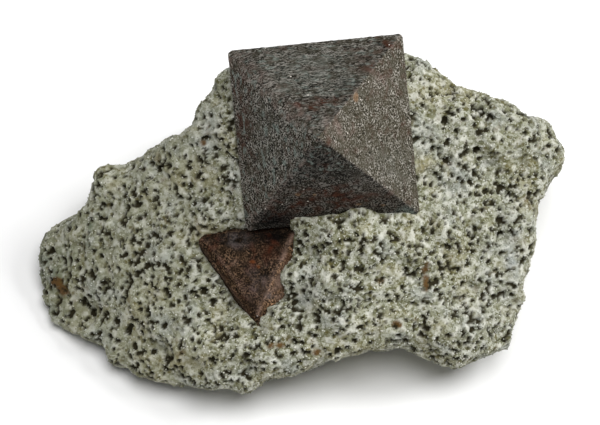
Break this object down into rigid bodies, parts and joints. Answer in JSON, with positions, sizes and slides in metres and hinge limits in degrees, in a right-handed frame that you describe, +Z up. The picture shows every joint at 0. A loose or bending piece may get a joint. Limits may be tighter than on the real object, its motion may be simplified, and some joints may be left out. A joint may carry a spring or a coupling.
{
  "type": "magnetite specimen",
  "caption": "Two octahedral magnetite crystals, one large and one small, set in a loose piece of grey porous volcanic rock that rests on its flat underside.",
  "frame": {"origin": "middle of the specimen's box, on the plane that the rock rests on", "axes": "+X along the rock's length, to the right when looking at the crystals; +Y away from the viewer, towards the side that the face leans back to; +Z up"},
  "size_m": [0.0652, 0.0458, 0.0363],
  "materials": {
    "volcanic_rock": "rough, porous, light grey with olive-brown pores",
    "magnetite": "dull submetallic brown-black with faint striations and rust-red patches"
  },
  "bodies": {
    "root": {"matrix": "volcanic_rock", "large_crystal": "magnetite", "small_crystal": "magnetite"}
  },
  "joints": []
}
